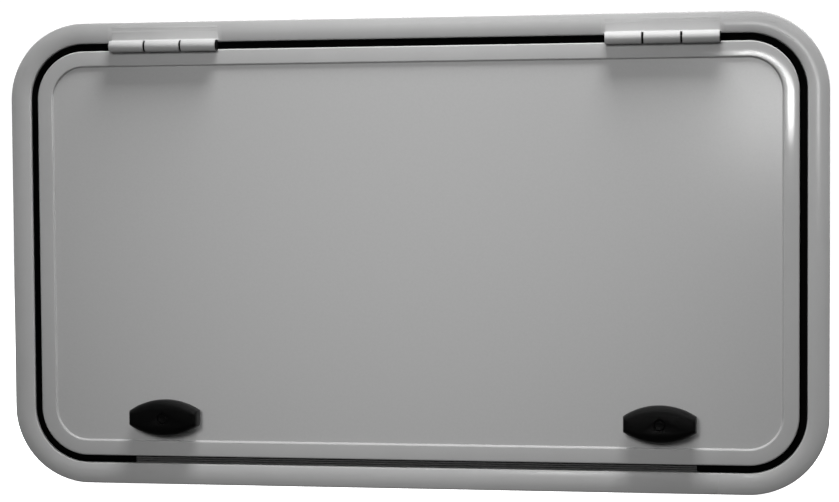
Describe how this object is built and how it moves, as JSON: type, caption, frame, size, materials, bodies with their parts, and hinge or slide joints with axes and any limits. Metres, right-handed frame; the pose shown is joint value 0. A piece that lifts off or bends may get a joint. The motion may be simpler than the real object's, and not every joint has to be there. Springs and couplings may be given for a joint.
{
  "type": "deck hatch",
  "caption": "Rounded rectangular deck hatch: flanged frame with a spigot, hinged lid with a recessed panel, and twist latches.",
  "frame": {"origin": "centre of the cut-out, in the plane of the flange's rear face", "axes": "+X along the hinge line, +Z up the face towards the hinges, -Y out of the weather side; in a level deck -Y points up"},
  "size_m": [0.7, 0.0653, 0.4],
  "materials": {
    "frame_paint": "light grey powder coat, semi-gloss",
    "rim_paint": "light grey powder coat, gloss",
    "panel_paint": "light grey powder coat, fine satin texture",
    "hinge_paint": "light grey powder coat, semi-gloss",
    "seal_rubber": "black EPDM, matt",
    "strip_rubber": "dark grey ribbed rubber, satin",
    "black_plastic": "black moulded glass-filled nylon, satin",
    "bush_nylon": "black nylon, matt",
    "stainless": "stainless steel, brushed"
  },
  "bodies": {
    "frame": {"base_frame": "frame_paint", "frame_seal": "seal_rubber", "gutter_strip": "strip_rubber", "hinge_frame_leaf_left": "hinge_paint", "hinge_pin_left": "stainless", "hinge_cap_left": "black_plastic", "keeper_left": "stainless", "hinge_bush_left_inner": "bush_nylon", "keeper_screw_left_inner": "stainless", "hinge_bush_left_outer": "bush_nylon", "keeper_screw_left_outer": "stainless", "hinge_frame_leaf_right": "hinge_paint", "hinge_pin_right": "stainless", "hinge_cap_right": "black_plastic", "keeper_right": "stainless", "hinge_bush_right_inner": "bush_nylon", "keeper_screw_right_inner": "stainless", "hinge_bush_right_outer": "bush_nylon", "keeper_screw_right_outer": "stainless"},
    "lid": {"lid_frame": "rim_paint", "lid_panel": "panel_paint", "panel_seal": "seal_rubber", "hinge_lid_leaf_left": "hinge_paint", "latch_bush_left": "black_plastic", "latch_nut_left": "bush_nylon", "leaf_screw_left_inner": "stainless", "leaf_screw_left_outer": "stainless", "hinge_lid_leaf_right": "hinge_paint", "latch_bush_right": "black_plastic", "latch_nut_right": "bush_nylon", "leaf_screw_right_inner": "stainless", "leaf_screw_right_outer": "stainless"},
    "latch_left": {"knob_left": "black_plastic", "knob_cap_left": "black_plastic", "knob_screw_left": "stainless", "spindle_left": "stainless", "spindle_o_ring_left": "seal_rubber", "thrust_washer_left": "bush_nylon", "inner_handle_left": "black_plastic", "handle_screw_left": "stainless", "handle_cap_left": "black_plastic"},
    "latch_right": {"knob_right": "black_plastic", "knob_cap_right": "black_plastic", "knob_screw_right": "stainless", "spindle_right": "stainless", "spindle_o_ring_right": "seal_rubber", "thrust_washer_right": "bush_nylon", "inner_handle_right": "black_plastic", "handle_screw_right": "stainless", "handle_cap_right": "black_plastic"}
  },
  "joints": [
    {"name": "lid_hinge", "type": "hinge", "parent": "frame", "child": "lid", "pos_m": [0, -0.0143, 0.1784], "axis": [-1, 0, 0], "range_deg": [0, 110]},
    {"name": "latch_left_turn", "type": "hinge", "parent": "lid", "child": "latch_left", "pos_m": [-0.2115, 0, -0.1406], "axis": [0, -1, 0], "range_deg": [0, 90]},
    {"name": "latch_right_turn", "type": "hinge", "parent": "lid", "child": "latch_right", "pos_m": [0.2115, 0, -0.1406], "axis": [0, 1, 0], "range_deg": [0, 90]}
  ]
}
